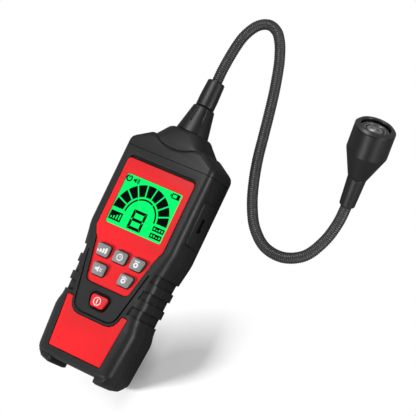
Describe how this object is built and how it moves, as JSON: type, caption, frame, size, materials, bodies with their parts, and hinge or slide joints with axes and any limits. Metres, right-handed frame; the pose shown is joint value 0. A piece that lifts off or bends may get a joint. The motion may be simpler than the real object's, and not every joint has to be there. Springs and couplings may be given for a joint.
{
  "type": "refrigerant leak detector",
  "caption": "Handheld refrigerant leak detector with a waisted casing, a backlit display, keys, and a sensor head on a bent gooseneck.",
  "frame": {"origin": "on the casing's flat back, midway across it, 84 mm above the foot and 91 mm below the tip of the hump", "axes": "+X to the right of the display, +Y along the casing towards the gooseneck, +Z out of the display; the detector lies on its back on the plane z=0"},
  "size_m": [0.1927, 0.2715, 0.0725],
  "materials": {
    "frame_plastic": "fine-grained dark grey moulded plastic",
    "rear_plastic": "matte near-black moulded plastic",
    "red_plastic": "satin bright red fascia plastic",
    "key_rubber": "matte mid-grey key rubber",
    "black_rubber": "satin black moulded rubber",
    "gooseneck_coat": "black coated wound steel",
    "window_clear": "clear display window",
    "display_green": "green backlit liquid crystal panel",
    "board_green": "green circuit board",
    "component_black": "black component plastic",
    "white_plastic": "off-white moulded plastic",
    "steel": "bright steel",
    "brass": "plain brass",
    "pack_wrap": "blue shrink wrap of the battery pack"
  },
  "bodies": {
    "casing": {"front_shell": "frame_plastic", "rear_shell": "rear_plastic", "top_cap": "frame_plastic", "display_fascia": "red_plastic", "lower_panel": "red_plastic", "display_window": "window_clear", "display_panel": "display_green", "panel_holder": "white_plastic", "switch_upper_left": "component_black", "switch_upper_middle": "component_black", "switch_upper_right": "component_black", "switch_lower_left": "component_black", "switch_lower_right": "component_black", "power_switch": "component_black", "main_board": "board_green", "processor_chip": "component_black", "buzzer": "component_black", "charge_socket": "steel", "battery_pack": "pack_wrap", "battery_contact_left": "brass", "battery_contact_right": "brass", "battery_cover": "rear_plastic", "battery_cover_screw": "steel", "case_screw_upper_left": "steel", "case_screw_upper_right": "steel", "case_screw_lower_left": "steel", "case_screw_lower_right": "steel", "neck_nut": "brass", "neck_boot": "black_rubber", "neck_sleeve": "black_rubber", "gooseneck": "gooseneck_coat", "head_sleeve": "black_rubber", "head_housing": "rear_plastic", "head_rim": "rear_plastic", "sensor_can": "steel", "sensor_base": "board_green", "probe_lead": "component_black", "lead_plug": "white_plastic"},
    "upper_left_key": {"key_upper_left": "key_rubber"},
    "upper_middle_key": {"key_upper_middle": "key_rubber"},
    "upper_right_key": {"key_upper_right": "key_rubber"},
    "lower_left_key": {"key_lower_left": "key_rubber"},
    "lower_right_key": {"key_lower_right": "key_rubber"},
    "power_button": {"power_key": "red_plastic"}
  },
  "joints": [
    {"name": "press_upper_left", "type": "slide", "parent": "casing", "child": "upper_left_key", "axis": [0, 0, -1], "range_m": [0, 0.0008], "stiffness_N_per_m": 250, "springref_m": -0.002},
    {"name": "press_upper_middle", "type": "slide", "parent": "casing", "child": "upper_middle_key", "axis": [0, 0, -1], "range_m": [0, 0.0008], "stiffness_N_per_m": 250, "springref_m": -0.002},
    {"name": "press_upper_right", "type": "slide", "parent": "casing", "child": "upper_right_key", "axis": [0, 0, -1], "range_m": [0, 0.0008], "stiffness_N_per_m": 250, "springref_m": -0.002},
    {"name": "press_lower_left", "type": "slide", "parent": "casing", "child": "lower_left_key", "axis": [0, 0, -1], "range_m": [0, 0.0008], "stiffness_N_per_m": 250, "springref_m": -0.002},
    {"name": "press_lower_right", "type": "slide", "parent": "casing", "child": "lower_right_key", "axis": [0, 0, -1], "range_m": [0, 0.0008], "stiffness_N_per_m": 250, "springref_m": -0.002},
    {"name": "press_power", "type": "slide", "parent": "casing", "child": "power_button", "axis": [0, 0, -1], "range_m": [0, 0.0008], "stiffness_N_per_m": 250, "springref_m": -0.002}
  ]
}
